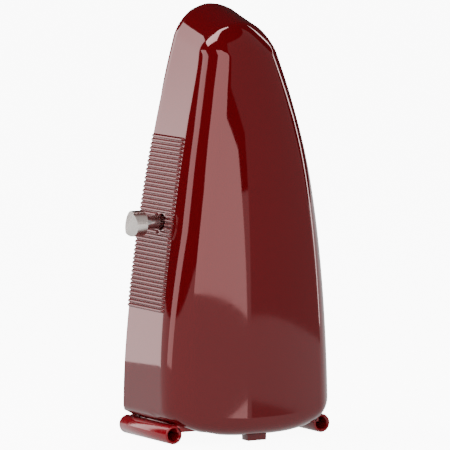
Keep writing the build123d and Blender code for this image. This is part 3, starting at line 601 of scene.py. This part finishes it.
bm = bmesh.new()
bm.from_mesh(repeat_ribs(False))
for v in bm.verts:
    v.co.x = -v.co.x
bmesh.ops.reverse_faces(bm, faces=bm.faces)
bm.from_mesh(repeat_ribs(True))
bpy.data.objects.remove(bar)
ribs_mesh = bpy.data.meshes.new("side_ribs")
bm.to_mesh(ribs_mesh)
bm.free()
side_ribs = bpy.data.objects.new("side_ribs", ribs_mesh)
bpy.context.collection.objects.link(side_ribs)
ribs_mesh.materials.append(ruby_gloss)
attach(side_ribs, "case")

# ---- Winding key ----------------------------------------------------------
# A short aluminium cylinder with its outer end ground to a ridge between two
# flats, pressed on the steel winding arbor that comes out through the case.
satin_aluminium = worked_metal("satin_aluminium", (0.66, 0.62, 0.58), (0.50, 0.47, 0.44), 0.26,
                               (2, 12, 12), 260.0)
dark_arbor = worked_metal("dark_arbor", (0.52, 0.50, 0.49), (0.36, 0.34, 0.33), 0.10, (14, 1, 1), 300.0)
dress(satin_aluminium, "winding_knob")
dress(dark_arbor, "winding_arbor")

# ---- Dial panel -----------------------------------------------------------
# A dark red satin panel closes the front behind the rod, held by four small
# screws with raised heads. A pale scale of tempo marks is printed up its
# middle, and two ears carry the rod latch.
satin_red = gloss_plastic("satin_red", (0.055, 0.003, 0.005), (0.042, 0.002, 0.004), 0.5, 0.5, 60.0)
dress(satin_red, "dial_panel")
dress(plated_screw, "panel_screws", "latch_pin")
TEMPOS = (40, 44, 48, 52, 56, 60, 66, 72, 80, 88, 96, 104, 112, 120, 132, 144, 160, 176, 192, 208)
SCALE_TOP, SCALE_BOTTOM, PANEL_FACE = 131.0, 69.0, -10.0
TICK_INNER, TICK_OUTER, FIGURE_X, FIGURE_SIZE = 2.4, 6.4, 7.0, 2.6
TICK_HALF, RULE_HALF, RULE_PAST = 0.13, 0.12, 2.0
PRINT_PROUD, PRINT_SUNK, FIGURE_HALF = 0.06, 0.02, 0.03


def figure_side(k):
    # figures stand right and left of the rod in turn, the slowest on the left
    return 1 if k % 2 else -1


def tempo_height(beats):
    # slow beats stand high on the scale, quick ones low
    share = (math.log(beats) - math.log(40)) / (math.log(208) - math.log(40))
    return SCALE_TOP + (SCALE_BOTTOM - SCALE_TOP) * share


def figure_mesh(beats, side):
    # the printed figure as a thin mesh, upright on the face of the panel
    curve = bpy.data.curves.new("figure", "FONT")
    curve.body = str(beats)
    curve.size = FIGURE_SIZE * MM
    curve.extrude = FIGURE_HALF * MM
    curve.align_x = "LEFT" if side > 0 else "RIGHT"
    curve.align_y = "CENTER"
    o = bpy.data.objects.new("figure", curve)
    bpy.context.collection.objects.link(o)
    bpy.context.view_layer.update()
    me = bpy.data.meshes.new_from_object(o.evaluated_get(bpy.context.evaluated_depsgraph_get()))
    bpy.data.objects.remove(o)
    x, y, z = side * FIGURE_X * MM, (PANEL_FACE - FIGURE_HALF) * MM, tempo_height(beats) * MM
    for v in me.vertices:
        v.co = Vector((x + v.co.x, y - v.co.z, z + v.co.y))
    return me


bm = bmesh.new()
print_front, print_back = PANEL_FACE - PRINT_PROUD, PANEL_FACE + PRINT_SUNK
for k, beats in enumerate(TEMPOS):
    z = tempo_height(beats)
    left, right = sorted((figure_side(k) * TICK_INNER, figure_side(k) * TICK_OUTER))
    block(bm, (left, print_front, z - TICK_HALF), (right, print_back, z + TICK_HALF))
for x in (-TICK_INNER, TICK_INNER):
    block(bm, (x - RULE_HALF, print_front, SCALE_BOTTOM - RULE_PAST),
          (x + RULE_HALF, print_back, SCALE_TOP + RULE_PAST))
scale_marks = make_object("scale_marks", bm)
bm = bmesh.new()
bm.from_mesh(scale_marks.data)
for k, beats in enumerate(TEMPOS):
    bm.from_mesh(figure_mesh(beats, figure_side(k)))
bmesh.ops.remove_doubles(bm, verts=bm.verts, dist=0.000001)
bmesh.ops.recalc_face_normals(bm, faces=bm.faces)
bm.to_mesh(scale_marks.data)
bm.free()
pale_print = gloss_plastic("pale_print", (0.80, 0.76, 0.66), (0.70, 0.66, 0.56), 0.45, 0.2, 200.0)
scale_marks.data.materials.clear()
scale_marks.data.materials.append(pale_print)
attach(scale_marks, "case")

# ---- Pendulum -------------------------------------------------------------
# A steel staff, held by a brass bush and the rear bridge, carries the pallets,
# a brass hub, a flat spring steel rod upwards and a short arm down to a
# die-cast counterweight.
strip_steel = worked_metal("strip_steel", (0.70, 0.70, 0.71), (0.55, 0.55, 0.56), 0.24, (1, 1, 0.06), 900.0)
cast_zinc = worked_metal("cast_zinc", (0.40, 0.40, 0.42), (0.26, 0.26, 0.28), 0.52, (1, 1, 1), 420.0, 0.05)
dress(turned_steel, "pendulum_staff", "pallets", "counterweight_rivet")
dress(turned_brass, "pendulum_hub")
dress(strip_steel, "counterweight_arm", "pendulum_rod")
dress(cast_zinc, "counterweight")

# ---- Tempo weight ---------------------------------------------------------
# A plated wedge-shaped slider gripping the rod by a small leaf spring. Its
# upper edge is read against the scale.
plated = worked_metal("plated", (0.75, 0.75, 0.76), (0.60, 0.60, 0.61), 0.20, (1, 1, 10), 260.0)
dress(plated, "tempo_weight")
dress(blued_spring, "tempo_spring")

# ---- Rod latch ------------------------------------------------------------
# A small black plastic clip on a steel pin between the two ears. It folds
# down over the rod tip to park the pendulum.
satin_black = gloss_plastic("satin_black", (0.012, 0.012, 0.013), (0.02, 0.02, 0.022), 0.35, 0.4, 80.0)
dress(satin_black, "rod_latch")

# ---- Studio ---------------------------------------------------------------
# A plain pale table and a ring of soft, slightly warm cards that are hidden
# from the camera. Their edges shape the long highlights on the case.
CARD_COLOUR, CARD_STEPS = (1.0, 0.91, 0.90, 1.0), 12
TABLE_SEEN, TABLE_IN_GLOSS, TABLE_HALF = 9.2, 1.4, 4.0
BACKDROP_LIGHT, BACKDROP_SEEN, BACKDROP_IN_GLOSS = 0.9, 10.0, 0.04
CAMERA_AZIMUTH, CAMERA_ELEVATION, CAMERA_DISTANCE = 149.93, 6.003, 2.1039
CAMERA_AIM, FOCAL, IMAGE_WIDTH, SENSOR = 0.080, 5660.0, 450.0, 36.0


def studio_card(name, left, right, distance, strength):
    # a card bent round the object: left and right edges as (angle, height) pairs
    # in degrees and metres, with 0 at the key side (+X) and 90 at the back (+Y)
    grid, faces = [], []
    for (left_angle, left_height), (right_angle, right_height) in zip(left, right):
        for j in range(CARD_STEPS + 1):
            a = math.radians(left_angle + (right_angle - left_angle) * j / CARD_STEPS)
            height = left_height + (right_height - left_height) * j / CARD_STEPS
            grid.append((distance * math.cos(a), distance * math.sin(a), height))
    across = CARD_STEPS + 1
    for i in range(len(left) - 1):
        for j in range(CARD_STEPS):
            k = i * across + j
            faces.append((k, k + 1, k + across + 1, k + across))
    me = bpy.data.meshes.new(name)
    me.from_pydata(grid, [], faces)
    m = bpy.data.materials.new(name)
    m.use_nodes = True
    nt = m.node_tree
    nt.nodes.clear()
    out = nt.nodes.new("ShaderNodeOutputMaterial")
    glow = nt.nodes.new("ShaderNodeEmission")
    glow.inputs["Color"].default_value = CARD_COLOUR
    glow.inputs["Strength"].default_value = strength
    nt.links.new(glow.outputs["Emission"], out.inputs["Surface"])
    me.materials.append(m)
    o = bpy.data.objects.new(name, me)
    bpy.context.collection.objects.link(o)
    o.visible_camera = False


def pale_table():
    # matt pale paint, with an even glow to the camera and another in the gloss
    m = bpy.data.materials.new("pale_table")
    m.use_nodes = True
    nt = m.node_tree
    paint = nt.nodes["Principled BSDF"]
    paint.inputs["Base Color"].default_value = (0.8, 0.8, 0.8, 1)
    paint.inputs["Roughness"].default_value = 0.9
    glow = nt.nodes.new("ShaderNodeEmission")
    glow.inputs["Strength"].default_value = TABLE_SEEN
    even = nt.nodes.new("ShaderNodeEmission")
    even.inputs["Strength"].default_value = TABLE_IN_GLOSS
    rays = nt.nodes.new("ShaderNodeLightPath")
    lit_paint = nt.nodes.new("ShaderNodeAddShader")
    to_camera = nt.nodes.new("ShaderNodeMixShader")
    in_gloss = nt.nodes.new("ShaderNodeMixShader")
    nt.links.new(paint.outputs[0], lit_paint.inputs[0])
    nt.links.new(glow.outputs[0], lit_paint.inputs[1])
    nt.links.new(rays.outputs["Is Camera Ray"], to_camera.inputs[0])
    nt.links.new(paint.outputs[0], to_camera.inputs[1])
    nt.links.new(lit_paint.outputs[0], to_camera.inputs[2])
    nt.links.new(rays.outputs["Is Glossy Ray"], in_gloss.inputs[0])
    nt.links.new(to_camera.outputs[0], in_gloss.inputs[1])
    nt.links.new(even.outputs[0], in_gloss.inputs[2])
    nt.links.new(in_gloss.outputs[0], nt.nodes["Material Output"].inputs["Surface"])
    return m


def studio_world():
    # one even backdrop, dimmer in the gloss and brighter to the camera
    world = bpy.data.worlds.new("studio")
    world.use_nodes = True
    nt = world.node_tree
    soft = nt.nodes["Background"]
    soft.inputs["Color"].default_value = (1, 1, 1, 1)
    soft.inputs["Strength"].default_value = BACKDROP_LIGHT
    seen = nt.nodes.new("ShaderNodeBackground")
    seen.inputs["Strength"].default_value = BACKDROP_SEEN
    mirrored = nt.nodes.new("ShaderNodeBackground")
    mirrored.inputs["Strength"].default_value = BACKDROP_IN_GLOSS
    rays = nt.nodes.new("ShaderNodeLightPath")
    in_gloss = nt.nodes.new("ShaderNodeMixShader")
    to_camera = nt.nodes.new("ShaderNodeMixShader")
    nt.links.new(rays.outputs["Is Glossy Ray"], in_gloss.inputs[0])
    nt.links.new(soft.outputs[0], in_gloss.inputs[1])
    nt.links.new(mirrored.outputs[0], in_gloss.inputs[2])
    nt.links.new(rays.outputs["Is Camera Ray"], to_camera.inputs[0])
    nt.links.new(in_gloss.outputs[0], to_camera.inputs[1])
    nt.links.new(seen.outputs[0], to_camera.inputs[2])
    nt.links.new(to_camera.outputs[0], nt.nodes["World Output"].inputs["Surface"])
    return world


table_corners = [(x * TABLE_HALF, y * TABLE_HALF, 0) for x, y in ((-1, -1), (1, -1), (1, 1), (-1, 1))]
floor_mesh = bpy.data.meshes.new("floor")
floor_mesh.from_pydata(table_corners, [], [(0, 1, 2, 3)])
floor_mesh.materials.append(pale_table())
floor = bpy.data.objects.new("floor", floor_mesh)
bpy.context.collection.objects.link(floor)
bpy.context.scene.world = studio_world()

studio_card("side_card", ((-66, 0.0), (-66, 0.38)), ((-47, 0.0), (-47, 0.38)), 0.30, 5.8)
studio_card("back_card", ((55, 0.04), (45, 0.14), (20, 0.31), (-5, 0.50)),
            ((110, 0.0), (100, 0.14), (75, 0.27), (15, 0.56)), 0.38, 5.3)
studio_card("dim_card", ((112, 0.0), (105, 0.16), (75, 0.34), (50, 1.2)),
            ((165, 0.0), (165, 0.16), (165, 0.34), (190, 1.2)), 0.381, 0.62)
studio_card("strip_card", ((-17, 0.0), (-6, 0.12), (-18, 0.25), (-45, 0.34)),
            ((-1, 0.0), (12, 0.12), (-2, 0.27), (-33, 0.42)), 0.45, 5.0)
studio_card("shard_card", ((-45, 0.50), (-50, 0.80), (-100, 1.25)),
            ((-33, 0.50), (-25, 0.80), (-95, 1.50)), 0.45, 16.0)
studio_card("far_strip", ((166, 0.0), (184, 0.16), (174, 0.25), (196, 0.46)),
            ((170, 0.0), (190, 0.16), (180, 0.25), (216, 0.54)), 0.45, 12.0)

camera_data = bpy.data.cameras.new("camera")
camera = bpy.data.objects.new("camera", camera_data)
bpy.context.collection.objects.link(camera)
azimuth, elevation = math.radians(CAMERA_AZIMUTH), math.radians(CAMERA_ELEVATION)
away = Vector((math.sin(azimuth) * math.cos(elevation), -math.cos(azimuth) * math.cos(elevation),
               math.sin(elevation)))
camera.location = Vector((0, 0, CAMERA_AIM)) + away * CAMERA_DISTANCE
camera.rotation_euler = away.to_track_quat("Z", "Y").to_euler()
camera_data.sensor_width = SENSOR
camera_data.lens = FOCAL / IMAGE_WIDTH * SENSOR
camera_data.shift_x = 0.0004
camera_data.shift_y = -0.01246
camera_data.clip_start = 0.05
bpy.context.scene.camera = camera
bpy.context.view_layer.update()
